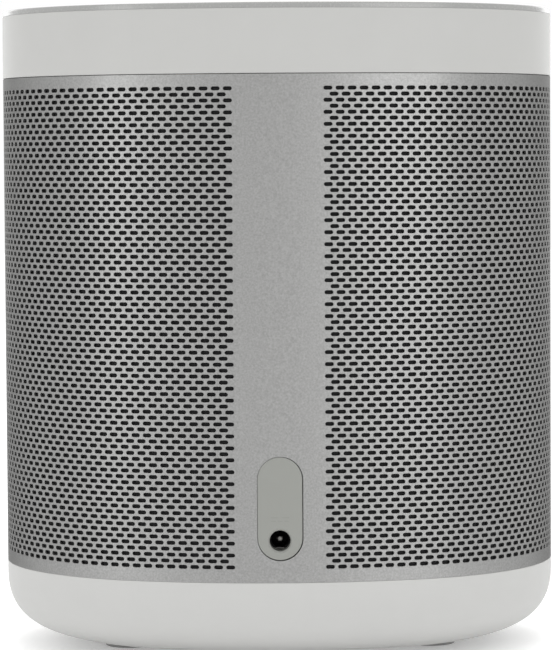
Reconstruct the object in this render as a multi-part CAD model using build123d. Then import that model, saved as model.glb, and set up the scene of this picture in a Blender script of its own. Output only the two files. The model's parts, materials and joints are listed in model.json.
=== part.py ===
from build123d import *
import math
import os

# Smart speaker: an oval column with a slotted metal grille, a plastic band on top and a plastic cap below.
# Millimetres. +Z is up and the feet stand on Z = 0; the driver faces -Y and the DC inlet is on the +Y side.
# The origin is the centre of the footprint, between the feet.

# ---- driving dimensions -------------------------------------------------------------------------
WIDTH = 131.0
DEPTH = 104.0
HEIGHT = 151.0
END_RADIUS = 49.24

# The plan is a four-centre oval: two end arcs and two flatter side arcs, tangent where they join.
END_CENTRE = WIDTH / 2 - END_RADIUS
SLACK = DEPTH / 2 - END_RADIUS
SIDE_CENTRE = (END_CENTRE**2 - SLACK**2) / (2 * SLACK)
SIDE_RADIUS = SIDE_CENTRE + DEPTH / 2
JOIN_ANGLE = math.degrees(math.atan2(END_CENTRE, SIDE_CENTRE))

# Heights of the joints between the outside pieces.
UNDERSIDE_Z = 1.5
CAP_TOP_Z = 20.1
GRILLE_TOP_Z = 135.1
BAND_TOP_Z = 149.75

WALL = 2.2
GRILLE_THICK = 0.7
CLOTH_INSET = 0.9
CLOTH_THICK = 0.3
FRAME_INSET = 1.3
BAND_WALL = 2.4
EDGE_BREAK = 0.12

# Socket plate: a pill in the grille's plain back strip, a hair off the middle of its cut-out.
PLATE_WIDTH = 10.1
PLATE_HEIGHT = 23.3
PLATE_Z = 36.95
PLATE_GAP = 0.17
PLATE_SHIFT = 0.07
PLATE_FACE_INSET = 0.12
FLANGE_MARGIN = 2.8
FLANGE_BACK_Y = 47.7
FLANGE_FRONT_Y = 50.1

# DC inlet for a 4.0 x 1.7 mm barrel plug.
JACK_Z = 29.6
JACK_MOUTH_R = 2.4
JACK_BORE_R = 2.05
JACK_LEAD_R = 3.0
JACK_PIN_R = 0.8
JACK_PIN_TIP_Y = 47.3
JACK_BACK_Y = 36.2
JACK_SIZE = 9.0

# Feet.
FOOT_X = 35.7
FOOT_WIDTH = 12.0
FOOT_LENGTH = 32.0
FOOT_POCKET = 0.8

# Base frame and main board.
FRAME_BOTTOM_Z = CAP_TOP_Z
FRAME_TOP_Z = 22.2
BOARD_Z = 11.0
BOARD_THICK = 1.6
BOARD_INSET = 8.0
BASE_SCREW_Y = 9.0
BOARD_SCREW_X = 20.0
BOARD_SCREW_Y = 30.0

# Sealed enclosure that carries the driver.
BOX_INSET = 7.0
BOX_WALL = 2.5
BOX_BOTTOM_Z = 24.2
BOX_TOP_Z = 127.0
GASKET_THICK = 1.2
BOX_SCREW_X = 51.5
BOX_SCREW_Z = (33.0, 75.6, 118.2)
NOTCH_X = 13.0
NOTCH_Y = 31.5
NOTCH_TOP_Z = 54.0

# Driver: 2.5 inch full-range unit on a flat seat, its axis along Y.
DRIVER_Z = 78.0
SEAT_Y = -39.5
BAFFLE_THICK = 4.0
BAFFLE_R = 40.5
DRIVER_HOLE_R = 29.0
FLANGE_R = 32.5
LUG_R = 4.0
LUG_PITCH_R = 34.0
CONE_RIM_R = 26.2
COIL_R = 10.1
POLE_R = 9.5
GAP_R = 11.0
MAGNET_R = 24.0

# Top: frame, light ring, board and touch panel.
TOP_FRAME_Z = 129.5
TOP_FRAME_THICK = 2.5
SHELF_Z = 143.6
SHELF_THICK = 2.0
SHELF_INSET = 12.0
RING_INSET = 0.1
RING_WIDTH = 3.0
RING_EDGE_RADIUS = 0.4
TOUCH_BOARD_THICK = 1.2
TOUCH_BOARD_INSET = 2.9
PANEL_BOTTOM_Z = 149.3
PANEL_DROP = 0.1
PANEL_GAP = 0.1
MIC_X = 34.0
LED_COUNT = 24
LED_INSET = 3.6
LED_SIZE = 1.5
TOUCH_SCREW = (46.0, 28.0)
FRAME_SCREW = (37.7, 35.8)

TOUCH_BOARD_TOP_Z = SHELF_Z + SHELF_THICK + TOUCH_BOARD_THICK
CABLE_X = 18.0
CABLE_Y = 45.75
CABLE_CONNECTOR_Y = 35.0

# Screws: shank radius, length under the head, head radius, head height.
BOARD_SCREW = (1.0, 7.0, 2.0, 1.3)
JACK_SCREW = (1.0, 8.0, 2.0, 1.3)
BASE_SCREW = (1.5, 14.0, 2.9, 1.7)
BOX_SCREW = (1.25, 24.0, 2.8, 1.8)
DRIVER_SCREW = (1.0, 8.5, 2.2, 1.5)
TOUCH_BOARD_SCREW = (1.0, 6.0, 2.0, 1.2)
TOP_FRAME_SCREW = (1.25, 9.0, 2.4, 1.5)

# Small parts.
PARTS_Z = BOARD_Z + BOARD_THICK
CAN_LOW, CAN_HIGH = (-48, -17), (-12, 9)
CHIP_LOW, CHIP_HIGH = (-5, -23), (5, -13)
CHIP_HEIGHT = 1.2
CAPACITOR_X, CAPACITOR_Y = (-10, -2, 6), 22
CAPACITOR_R, CAPACITOR_HEIGHT = 3.1, 6
INDUCTOR_X, INDUCTOR_Y, INDUCTOR_SIZE, INDUCTOR_HEIGHT = (2, 13), 4, 7, 4
FOAM_LOW, FOAM_HIGH = (4, 13, 72), (44, 27, 114)
WEIGHT_HALF_X, WEIGHT_HALF_Y, WEIGHT_THICK = 22, 24, 4
PAD_X, PAD_Y, PAD_R = 30, 28, 5
WIRE_X, WIRE_R, WIRE_BEND = 1.6, 0.7, 1.5
WIRE_END_Z = PARTS_Z + 1.8

MIN_ALIGN = (Align.CENTER, Align.CENTER, Align.MIN)
MIRRORS = [(1, 1), (-1, 1), (1, -1), (-1, -1)]


# ---- shared shapes ------------------------------------------------------------------------------
def oval_face(inset):
    """The plan outline moved inwards: every offset keeps the same four centres."""
    end = END_RADIUS - inset
    side = SIDE_RADIUS - inset
    reach = 90 - JOIN_ANGLE
    arcs = [
        CenterArc((END_CENTRE, 0), end, -reach, 2 * reach),
        CenterArc((0, -SIDE_CENTRE), side, reach, 2 * JOIN_ANGLE),
        CenterArc((-END_CENTRE, 0), end, 180 - reach, 2 * reach),
        CenterArc((0, SIDE_CENTRE), side, 180 + reach, 2 * JOIN_ANGLE),
    ]
    return make_face(arcs)


def column(inset, low, high):
    """Solid oval column between two heights."""
    return extrude(Pos(0, 0, low) * oval_face(inset), high - low, dir=(0, 0, 1))


def oval_ring(outer, inner, low, high):
    """Oval wall between two insets."""
    return column(outer, low, high) - column(inner, low - 1, high + 1)


def turned_oval(profile):
    """Sweep a profile right round the oval: profile(radius) gives its face where X is radius minus inset."""
    reach = 90 - JOIN_ANGLE
    spans = [
        (END_CENTRE, 0, END_RADIUS, -reach, 2 * reach),
        (0, -SIDE_CENTRE, SIDE_RADIUS, reach, 2 * JOIN_ANGLE),
        (-END_CENTRE, 0, END_RADIUS, 180 - reach, 2 * reach),
        (0, SIDE_CENTRE, SIDE_RADIUS, 180 + reach, 2 * JOIN_ANGLE),
    ]
    solid = Part()
    for x, y, radius, start, size in spans:
        solid += Pos(x, y, 0) * Rot(0, 0, start) * revolve(profile(radius), Axis.Z, size)
    return solid


def block(low, high):
    """Box between two corners."""
    size = [b - a for a, b in zip(low, high)]
    return Pos(*low) * Box(*size, align=(Align.MIN, Align.MIN, Align.MIN))


def soft_block(low, high, radius):
    """Box between two corners with its upright edges rounded."""
    box = block(low, high)
    return fillet(box.edges().filter_by(Axis.Z), radius)


def rod(start, end, radius):
    """Cylinder from one point to another."""
    run = Vector(*end) - Vector(*start)
    return Plane(origin=start, z_dir=run) * Cylinder(radius, run.length, align=MIN_ALIGN)


def tube(start, end, outer, inner):
    """Pipe from one point to another."""
    return rod(start, end, outer) - rod(start, end, inner)


def screw(seat, into, sizes):
    """Pan-head screw: its head's underside is at seat and its shank runs along into; the drive is a cross."""
    shank_r, length, head_r, head_height = sizes
    plane = Plane(origin=seat, z_dir=into)
    head = Cylinder(head_r, head_height, align=(Align.CENTER, Align.CENTER, Align.MAX))
    head = fillet(head.faces().sort_by(Axis.Z)[0].edges(), 0.3 * head_height)
    body = head + Cylinder(shank_r, length, align=MIN_ALIGN)
    arm = Box(1.3 * head_r, 0.28 * head_r, 0.9 * head_height)
    cross = Pos(0, 0, -head_height) * (arm + Rot(0, 0, 90) * arm)
    return plane * (body - cross)


def flat_tape(points, width, thickness, bend):
    """Flat cable along a path in a plane of constant X."""
    path = FilletPolyline(*points, radius=bend)
    start = Plane(origin=path @ 0, x_dir=(1, 0, 0), z_dir=path % 0)
    return sweep(start * Rectangle(width, thickness), path=path)


def round_wire(points, radius, bend):
    """Insulated wire along a path of straight runs and arcs."""
    path = FilletPolyline(*points, radius=bend)
    return sweep(Plane(origin=path @ 0, z_dir=path % 0) * Circle(radius), path=path)


def pill(width, height, near, far):
    """Pill-shaped prism on the back, from Y = near out to Y = far."""
    outline = Plane(origin=(PLATE_SHIFT, far, PLATE_Z), x_dir=(1, 0, 0), z_dir=(0, 1, 0))
    return extrude(outline * Rot(0, 0, 90) * SlotOverall(height, width), near - far)


def save(name, *solids):
    """Write one node; a group of alike pieces is one node of several solids."""
    shape = solids[0] if len(solids) == 1 else Compound(children=[s.solid() for s in solids])
    export_step(shape, f"parts/{name}.step")


# ---- outside ------------------------------------------------------------------------------------
def light_ring():
    """Translucent rim round the top, with a thin skirt that takes in light from the lamps below it."""
    inner = RING_INSET + RING_WIDTH
    rim = oval_ring(RING_INSET, inner, BAND_TOP_Z, HEIGHT)
    top_edges = rim.faces().sort_by(Axis.Z)[-1].outer_wire().edges()
    rim = fillet(top_edges, RING_EDGE_RADIUS)
    return rim + oval_ring(inner - 0.6, inner, BAND_TOP_Z - 2.0, BAND_TOP_Z)


def touch_panel():
    """Flat plate inside the rim, with a pinhole over each microphone."""
    inset = RING_INSET + RING_WIDTH + PANEL_GAP
    plate = column(inset, PANEL_BOTTOM_Z, HEIGHT - PANEL_DROP)
    plate = fillet(plate.faces().sort_by(Axis.Z)[-1].outer_wire().edges(), EDGE_BREAK)
    for x in (MIC_X, -MIC_X):
        plate -= rod((x, 0, PANEL_BOTTOM_Z - 1), (x, 0, HEIGHT + 1), 0.6)
    return plate


def top_band():
    """Band with a shelf inside that the touch board is screwed to."""
    band = oval_ring(0, BAND_WALL, GRILLE_TOP_Z, BAND_TOP_Z)
    band = fillet(band.faces().sort_by(Axis.Z)[-1].outer_wire().edges(), 0.25)
    band = chamfer(band.faces().sort_by(Axis.Z)[0].outer_wire().edges(), EDGE_BREAK)
    band += oval_ring(BAND_WALL - 0.5, SHELF_INSET, SHELF_Z, SHELF_Z + SHELF_THICK)
    for sx, sy in MIRRORS:
        x, y = sx * TOUCH_SCREW[0], sy * TOUCH_SCREW[1]
        band += rod((x, y, SHELF_Z - 5.5), (x, y, SHELF_Z), 3.2)
        band -= rod((x, y, SHELF_Z - 5.5), (x, y, SHELF_Z + SHELF_THICK), 1.05)
        x, y = sx * FRAME_SCREW[0], sy * FRAME_SCREW[1]
        band += rod((x, y, TOP_FRAME_Z + TOP_FRAME_THICK), (x, y, SHELF_Z), 3.0)
        band -= rod((x, y, TOP_FRAME_Z), (x, y, SHELF_Z - 1), 1.3)
    return band


def grille():
    """Metal sleeve, plain here, with the pill cut-out for the socket plate."""
    sleeve = oval_ring(0, GRILLE_THICK, CAP_TOP_Z, GRILLE_TOP_Z)
    return sleeve - Pos(-PLATE_SHIFT, 0, -PLATE_SHIFT) * pill(
        PLATE_WIDTH + 2 * PLATE_GAP, PLATE_HEIGHT + 2 * PLATE_GAP, FLANGE_BACK_Y, DEPTH
    )


def acoustic_cloth():
    """Thin cloth behind the grille, open behind the socket plate."""
    cloth = oval_ring(CLOTH_INSET, CLOTH_INSET + CLOTH_THICK, CAP_TOP_Z + 0.5, GRILLE_TOP_Z - 0.5)
    return cloth - pill(PLATE_WIDTH + 3, PLATE_HEIGHT + 3, FLANGE_BACK_Y, DEPTH)


def socket_plate():
    """Pill plate that follows the grille's curve, with a flange behind it and a bevelled plug hole."""
    face = pill(PLATE_WIDTH, PLATE_HEIGHT, FLANGE_BACK_Y, DEPTH) & column(PLATE_FACE_INSET, 0, HEIGHT)
    margin = 2 * FLANGE_MARGIN
    plate = face + pill(PLATE_WIDTH + margin, PLATE_HEIGHT + margin, FLANGE_BACK_Y, FLANGE_FRONT_Y)
    post = (PLATE_SHIFT, FLANGE_BACK_Y, PLATE_Z + 6.5)
    post_end = (PLATE_SHIFT, JACK_BACK_Y, PLATE_Z + 6.5)
    plate += rod(post, post_end, 2.2)
    plate -= rod(post_end, post, 1.05)
    plate -= rod((PLATE_SHIFT, JACK_BACK_Y, JACK_Z), (PLATE_SHIFT, DEPTH, JACK_Z), JACK_MOUTH_R)
    mouth = DEPTH / 2 - PLATE_FACE_INSET
    bevel = Plane(origin=(PLATE_SHIFT, mouth - 0.35, JACK_Z), z_dir=(0, 1, 0))
    return plate - bevel * Cone(JACK_MOUTH_R, JACK_MOUTH_R + 0.5, 0.5, align=MIN_ALIGN)


def cap_profile(radius):
    """Wall of the cap: upright at the rim, then rolling under in one sweep to the flat underside."""
    def at(inset, z):
        return (radius - inset, 0, z)

    roll_start = 17.4
    roll_end = (11.2, 3.25)
    slope = 0.301
    lean = (math.sin(slope), math.cos(slope))
    flat_start = 24.0

    def handle(point, length):
        return at(point[0] - length * lean[1], point[1] + length * lean[0])

    inner_end = (roll_end[0] + WALL * lean[0], roll_end[1] + WALL * lean[1])
    floor_top = UNDERSIDE_Z + WALL
    run = (roll_end[1] - UNDERSIDE_Z) / math.tan(slope)
    edges = [
        Line(at(0, CAP_TOP_Z - EDGE_BREAK), at(0, roll_start)),
        Bezier(at(0, roll_start), at(0, roll_start - 8.8), handle(roll_end, 6.35), at(*roll_end)),
        Bezier(at(*roll_end), at(roll_end[0] + run, UNDERSIDE_Z), at(flat_start, UNDERSIDE_Z)),
        Line(at(flat_start, UNDERSIDE_Z), at(flat_start, floor_top)),
        Bezier(at(flat_start, floor_top), at(inner_end[0] + run, floor_top), at(*inner_end)),
        Bezier(at(*inner_end), handle(inner_end, 5.1), at(WALL, roll_start - 7.2), at(WALL, roll_start)),
        Line(at(WALL, roll_start), at(WALL, CAP_TOP_Z)),
        Line(at(WALL, CAP_TOP_Z), at(EDGE_BREAK, CAP_TOP_Z)),
        Line(at(EDGE_BREAK, CAP_TOP_Z), at(0, CAP_TOP_Z - EDGE_BREAK)),
    ]
    return make_face(edges)


def bottom_cap():
    """Base shell with pockets for the feet and a counterbored hole over each of four screws."""
    floor_top = UNDERSIDE_Z + WALL
    cap = turned_oval(cap_profile) + column(23.9, UNDERSIDE_Z, floor_top)
    for sx in (1, -1):
        pad = Rot(0, 0, 90) * SlotOverall(FOOT_LENGTH + 3, FOOT_WIDTH + 3)
        cap += Pos(sx * FOOT_X, 0, floor_top - 0.4) * extrude(pad, 2.9, dir=(0, 0, 1))
        pocket = Rot(0, 0, 90) * SlotOverall(FOOT_LENGTH + 0.3, FOOT_WIDTH + 0.3)
        cap -= Pos(sx * FOOT_X, 0, 0) * extrude(pocket, UNDERSIDE_Z + FOOT_POCKET, dir=(0, 0, 1))
    head_seat = UNDERSIDE_Z + FOOT_POCKET + 1.8
    for sx, sy in MIRRORS:
        x, y = sx * FOOT_X, sy * BASE_SCREW_Y
        cap -= rod((x, y, 0), (x, y, head_seat), 3.2)
        cap -= rod((x, y, 0), (x, y, 10), 1.7)
    return cap


def rubber_foot(sx):
    """Long low pad with rounded ends and a softened lower edge."""
    pad = extrude(Rot(0, 0, 90) * SlotOverall(FOOT_LENGTH, FOOT_WIDTH), UNDERSIDE_Z + FOOT_POCKET, dir=(0, 0, 1))
    pad = fillet(pad.faces().sort_by(Axis.Z)[0].edges(), 0.3)
    return Pos(sx * FOOT_X, 0, 0) * pad


# ---- DC inlet -----------------------------------------------------------------------------------
def jack_body():
    """Insulating housing of the inlet: a bore with a wider lead-in, and a slot for its side contact."""
    half = JACK_SIZE / 2
    x = PLATE_SHIFT
    body = block((x - half, JACK_BACK_Y, JACK_Z - half), (x + half, FLANGE_BACK_Y, JACK_Z + half))
    body -= rod((x, JACK_BACK_Y + 2.5, JACK_Z), (x, DEPTH, JACK_Z), JACK_BORE_R)
    body -= rod((x, JACK_BACK_Y - 1, JACK_Z), (x, DEPTH, JACK_Z), JACK_PIN_R)
    body -= rod((x, FLANGE_BACK_Y - 1.0, JACK_Z), (x, DEPTH, JACK_Z), JACK_LEAD_R)
    low = JACK_Z - JACK_BORE_R
    return body - block((x - 1.1, JACK_BACK_Y + 2, low - 0.5), (x + 1.1, FLANGE_BACK_Y - 1, low + 0.4))


def jack_pin():
    """Centre pin with a rounded tip."""
    pin = rod((PLATE_SHIFT, JACK_BACK_Y, JACK_Z), (PLATE_SHIFT, JACK_PIN_TIP_Y, JACK_Z), JACK_PIN_R)
    return fillet(pin.faces().sort_by(Axis.Y)[-1].edges(), 0.6 * JACK_PIN_R)


def jack_contact():
    """Side contact, a thin leaf along the bottom of the bore."""
    low = JACK_Z - JACK_BORE_R
    x = PLATE_SHIFT
    return block((x - 1, JACK_BACK_Y + 2.2, low - 0.3), (x + 1, FLANGE_BACK_Y - 1.2, low))


def jack_board():
    """Small upright board behind the inlet."""
    board = soft_block((-9, 34.6, 25.0), (9, JACK_BACK_Y, 47.0), 0.5)
    return board - rod((PLATE_SHIFT, 30, PLATE_Z + 6.5), (PLATE_SHIFT, 40, PLATE_Z + 6.5), 1.2)


# ---- base ---------------------------------------------------------------------------------------
def base_frame():
    """Chassis plate on the cap's rim: posts for the screws, and a bracket that holds the socket plate."""
    frame = column(FRAME_INSET, FRAME_BOTTOM_Z, FRAME_TOP_Z)
    boss_low = UNDERSIDE_Z + WALL + 2.5
    for sx, sy in MIRRORS:
        x, y = sx * FOOT_X, sy * BASE_SCREW_Y
        frame += tube((x, y, boss_low), (x, y, FRAME_BOTTOM_Z), 4.0, 1.55)
        x, y = sx * BOARD_SCREW_X, sy * BOARD_SCREW_Y
        frame += tube((x, y, BOARD_Z + BOARD_THICK), (x, y, FRAME_BOTTOM_Z), 3.0, 1.05)
    bracket = block((-11, 45.2, FRAME_TOP_Z), (11, FLANGE_BACK_Y, 53.0))
    bracket -= block((-6.4, 44, 24.4), (6.4, 49, 49.6))
    frame += bracket
    frame -= block((CABLE_X - 6, 44.4, 10), (CABLE_X + 6, 47.0, 30))
    frame -= rod((0, 35.4, 10), (0, 35.4, 30), 4.5)
    return frame - rod((0, -16, 10), (0, -16, 30), 4.5)


def main_board():
    """Oval circuit board, cut round the frame's posts."""
    board = column(BOARD_INSET, BOARD_Z, BOARD_Z + BOARD_THICK)
    for sx, sy in MIRRORS:
        x, y = sx * FOOT_X, sy * BASE_SCREW_Y
        board -= rod((x, y, 5), (x, y, 20), 4.4)
        x, y = sx * BOARD_SCREW_X, sy * BOARD_SCREW_Y
        board -= rod((x, y, 5), (x, y, 20), 1.2)
    return board


def heat_sink(low):
    """Finned block on the amplifier."""
    sink = block((-9, -27, low), (9, -9, low + 1.2))
    for step in range(7):
        x = -9 + step * (18 - 1.0) / 6
        sink += block((x, -27, low + 1.2), (x + 1.0, -9, low + 3.8))
    return sink


def antenna(sx):
    """Printed aerial standing at the side of the base frame."""
    return block((sx * 61.2 - 0.4, -13, FRAME_TOP_Z), (sx * 61.2 + 0.4, 13, FRAME_TOP_Z + 9))


def connector(x, y, low, width):
    """Board connector."""
    return block((x - width / 2, y - 1.8, low), (x + width / 2, y + 1.8, low + 1.8))


# ---- enclosure ----------------------------------------------------------------------------------
def box_body():
    """The enclosure's outer form, with the notch that leaves room for the inlet."""
    notch = block((-NOTCH_X, NOTCH_Y, BOX_BOTTOM_Z - 1), (NOTCH_X, DEPTH, NOTCH_TOP_Z))
    return column(BOX_INSET, BOX_BOTTOM_Z, BOX_TOP_Z) - notch


def box_space():
    """The air inside the enclosure."""
    low, high = BOX_BOTTOM_Z + BOX_WALL, BOX_TOP_Z - BOX_WALL
    side = NOTCH_X + BOX_WALL
    notch = block((-side, NOTCH_Y - BOX_WALL, low - 1), (side, DEPTH, NOTCH_TOP_Z + BOX_WALL))
    return column(BOX_INSET + BOX_WALL, low, high) - notch


def driver_rod(near, far, radius):
    """Cylinder on the driver's axis between two distances in front of its seat."""
    return rod((0, SEAT_Y - near, DRIVER_Z), (0, SEAT_Y - far, DRIVER_Z), radius)


def lug_points():
    """Centres of the driver's four screw lugs, as X and Z."""
    step = LUG_PITCH_R * math.sqrt(0.5)
    return [(sx * step, DRIVER_Z + sz * step) for sx, sz in MIRRORS]


def flange_prism(near, far, grow):
    """Round flange with four lugs, grown by a clearance."""
    shape = driver_rod(near, far, FLANGE_R + grow)
    for x, z in lug_points():
        shape += rod((x, SEAT_Y - near, z), (x, SEAT_Y - far, z), LUG_R + grow)
    return shape


def box_wall():
    """Enclosure wall before it is split: shell, driver seat and screw bosses."""
    body = box_body()
    wall = body - box_space()
    wall += driver_rod(-BAFFLE_THICK, 20, BAFFLE_R) & body
    wall += driver_rod(-BAFFLE_THICK, 0, BAFFLE_R)
    for x, z in lug_points():
        wall += rod((x, SEAT_Y, z), (x, SEAT_Y + 9, z), 3.4)
    for sx in (1, -1):
        for z in BOX_SCREW_Z:
            boss = rod((sx * BOX_SCREW_X, -16, z), (sx * BOX_SCREW_X, 40, z), 4.5)
            wall += boss & body
    wall -= flange_prism(0, 20, 0.5)
    wall -= driver_rod(-BAFFLE_THICK - 1, 1, DRIVER_HOLE_R)
    for x, z in lug_points():
        wall -= rod((x, SEAT_Y - 1, z), (x, SEAT_Y + 8, z), 1.05)
    for sx in (1, -1):
        for z in BOX_SCREW_Z:
            x = sx * BOX_SCREW_X
            wall -= rod((x, -14, z), (x, 40, z), 1.3)
            wall -= rod((x, 12, z), (x, 40, z), 3.2)
    return wall


def front_enclosure(wall):
    """Front half, with the driver's seat and the hole for its wires."""
    half = wall & block((-90, -90, 0), (90, -GASKET_THICK / 2, HEIGHT))
    return half - rod((0, -16, 20), (0, -16, 30), 3.0)


def rear_enclosure(wall):
    """Rear half, with the hole for the reflex port."""
    half = wall & block((-90, GASKET_THICK / 2, 0), (90, 90, HEIGHT))
    return half - rod((-26, 30, 104), (-26, 60, 104), 9.0)


def enclosure_gasket():
    """Seal between the halves."""
    loop = box_body() - box_space()
    return loop & block((-90, -GASKET_THICK / 2, 0), (90, GASKET_THICK / 2, HEIGHT))


def reflex_port():
    """Tuned tube that opens through the back of the enclosure, with a flared lip."""
    body = rod((-26, 3, 104), (-26, 60, 104), 9.0) & column(BOX_INSET, 80, BOX_TOP_Z)
    bore = rod((-26, 0, 104), (-26, 60, 104), 7.6)
    inner_lip = rod((-26, 3, 104), (-26, 5, 104), 11.0)
    return body + inner_lip - bore


# ---- driver -------------------------------------------------------------------------------------
def turned(points):
    """Solid of revolution on the driver's axis; each point is a radius and a distance in front of the seat."""
    outline = [(r, 0, s) for r, s in points]
    face = make_face(Polyline(*outline, close=True))
    return Pos(0, SEAT_Y, DRIVER_Z) * Rot(90, 0, 0) * revolve(face, Axis.Z)


def driver_basket():
    """Pressed frame: flange with lugs, open cone of four spokes, spider ledge and rear seat."""
    flange = flange_prism(0.8, 2.3, 0) - driver_rod(0, 3, DRIVER_HOLE_R - 0.2)
    shell = turned(
        [(28.9, 2.3), (28.9, 0.8), (28.6, 0.8), (20.0, -14.0), (20.0, -15.2), (13.0, -15.2), (13.0, -14.0)]
        + [(18.8, -14.0), (18.8, -10.9), (20.4, -10.9), (27.4, 0.8), (27.4, 2.3)]
    )
    for angle in (0, 90, 180, 270):
        window = Rot(0, 0, angle) * Pos(26, 0, -6.2) * Box(40, 24, 9.0)
        shell -= Pos(0, SEAT_Y, DRIVER_Z) * Rot(90, 0, 0) * window
    basket = flange + shell
    for x, z in lug_points():
        basket -= rod((x, SEAT_Y, z), (x, SEAT_Y - 5, z), 1.25)
    return basket


def driver_gasket():
    """Foam ring under the flange."""
    ring = flange_prism(0, 0.8, -0.3) - driver_rod(-1, 3, DRIVER_HOLE_R)
    for x, z in lug_points():
        ring -= rod((x, SEAT_Y + 1, z), (x, SEAT_Y - 5, z), 1.4)
    return ring


def yoke():
    """Back plate and centre pole in one piece of steel."""
    return driver_rod(-31.7, -28.2, 22.0) + driver_rod(-28.3, -15.2, POLE_R)


def cone():
    """Paper cone with a flat rim."""
    thick = 0.45
    return turned(
        [(COIL_R, -8.4), (25.0, 1.6), (CONE_RIM_R, 1.6), (CONE_RIM_R, 2.0), (24.85, 2.0), (COIL_R, -8.4 + thick)]
    )


def dust_cap():
    """Shallow dome over the voice coil."""
    outer, thick, base = 12.0, 0.35, -6.25
    rise = 3.2
    sphere = (outer**2 + rise**2) / (2 * rise)
    start = (outer, 0, base)
    crown = (0, 0, base + rise)
    middle = (outer / 2, 0, base + rise - sphere + math.sqrt(sphere**2 - (outer / 2) ** 2))
    inner = [(x, y, z - thick) for x, y, z in (start, middle, crown)]
    edges = [
        ThreePointArc(start, middle, crown),
        Line(crown, inner[2]),
        ThreePointArc(inner[2], inner[1], inner[0]),
        Line(inner[0], start),
    ]
    return Pos(0, SEAT_Y, DRIVER_Z) * Rot(90, 0, 0) * revolve(make_face(edges), Axis.Z)


def surround():
    """Rubber half roll between the cone's rim and the flange."""
    middle_r, low, outer, inner = 28.0, 2.3, 2.0, 1.6
    edges = [
        Line((25.2, 0, 2.0), (25.2, 0, 2.4)),
        Line((25.2, 0, 2.4), (26.0, 0, 2.4)),
        ThreePointArc((26.0, 0, 2.4), (middle_r, 0, low + outer), (30.0, 0, 2.7)),
        Line((30.0, 0, 2.7), (30.9, 0, 2.7)),
        Line((30.9, 0, 2.7), (30.9, 0, 2.3)),
        Line((30.9, 0, 2.3), (29.6, 0, 2.3)),
        ThreePointArc((29.6, 0, 2.3), (middle_r, 0, low + inner), (26.4, 0, 2.0)),
        Line((26.4, 0, 2.0), (25.2, 0, 2.0)),
    ]
    return Pos(0, SEAT_Y, DRIVER_Z) * Rot(90, 0, 0) * revolve(make_face(edges), Axis.Z)


def spider():
    """Corrugated disc that centres the coil."""
    low, thick, wave = -10.9, 0.35, 0.8
    inner_r, outer_r, waves = COIL_R, 20.3, 6
    step = (outer_r - inner_r) / waves
    lower = [(inner_r + i * step, low + wave * (i % 2)) for i in range(waves + 1)]
    upper = [(r, s + thick) for r, s in reversed(lower)]
    return turned(lower + upper)


# ---- top ----------------------------------------------------------------------------------------
def top_frame():
    """Plate over the enclosure, with a lip inside the band; the cable passes through a slot."""
    high = TOP_FRAME_Z + TOP_FRAME_THICK
    frame = column(FRAME_INSET, TOP_FRAME_Z, high)
    frame += oval_ring(BAND_WALL + 0.2, BAND_WALL + 2.0, high - 0.5, high + 7)
    frame -= block((CABLE_X - 6, 44.0, TOP_FRAME_Z - 1), (CABLE_X + 6, 47.0, high + 1))
    frame -= block((CABLE_X - 6, 40.0, high), (CABLE_X + 6, DEPTH / 2, SHELF_Z))
    for sx, sy in MIRRORS:
        x, y = sx * FRAME_SCREW[0], sy * FRAME_SCREW[1]
        frame -= rod((x, y, TOP_FRAME_Z - 1), (x, y, SHELF_Z), 1.6)
    return frame


def light_reflector():
    """White rim between the lamps and the touch area."""
    rim = oval_ring(RING_INSET + RING_WIDTH + 0.2, 5.9, PANEL_BOTTOM_Z - 1.8, PANEL_BOTTOM_Z)
    return rim + oval_ring(4.5, 5.9, TOUCH_BOARD_TOP_Z, PANEL_BOTTOM_Z - 1.0)


def touch_board():
    """Oval board under the panel, with a port for each microphone."""
    board = column(TOUCH_BOARD_INSET, SHELF_Z + SHELF_THICK, TOUCH_BOARD_TOP_Z)
    for sx, sy in MIRRORS:
        x, y = sx * TOUCH_SCREW[0], sy * TOUCH_SCREW[1]
        board -= rod((x, y, 140), (x, y, 150), 1.2)
    for x in (MIC_X, -MIC_X):
        board -= rod((x, 0, 140), (x, 0, 150), 0.5)
    return board


def ring_leds():
    """Small lamps spaced evenly round the board's edge."""
    path = Wire(oval_face(LED_INSET).edges())
    lamps = []
    for i in range(LED_COUNT):
        spot = path.position_at((i + 0.5) / LED_COUNT)
        along = path.tangent_at((i + 0.5) / LED_COUNT)
        turn = math.degrees(math.atan2(along.Y, along.X))
        lamp = Box(LED_SIZE, LED_SIZE, 0.6, align=MIN_ALIGN)
        lamps.append(Pos(spot.X, spot.Y, TOUCH_BOARD_TOP_Z) * Rot(0, 0, turn) * lamp)
    return lamps


def touch_film():
    """Clear film of touch electrodes stuck under the panel."""
    film = column(12.0, PANEL_BOTTOM_Z - 0.2, PANEL_BOTTOM_Z)
    for x in (MIC_X, -MIC_X):
        film -= rod((x, 0, 140), (x, 0, 155), 2.4)
    return film


def touch_foam():
    """Foam block that presses the film against the panel, open over the chip."""
    foam = soft_block((-28, -22, TOUCH_BOARD_TOP_Z), (28, 22, PANEL_BOTTOM_Z - 0.2), 4.0)
    return foam - block((-8, -8, 140), (8, 8, 155))


# ---- write every node ---------------------------------------------------------------------------
os.makedirs("parts", exist_ok=True)

save("light_ring", light_ring())
save("touch_panel", touch_panel())
save("top_band", top_band())
save("grille", grille())
save("acoustic_cloth", acoustic_cloth())
save("socket_plate", socket_plate())
save("bottom_cap", bottom_cap())
save("rubber_feet", rubber_foot(1), rubber_foot(-1))

save("jack_body", jack_body())
save("jack_pin", jack_pin())
save("jack_contact", jack_contact())
save("jack_board", jack_board())
jack_seat = (PLATE_SHIFT, 34.6, PLATE_Z + 6.5)
save("jack_screw", screw(jack_seat, (0, 1, 0), JACK_SCREW))

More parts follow.
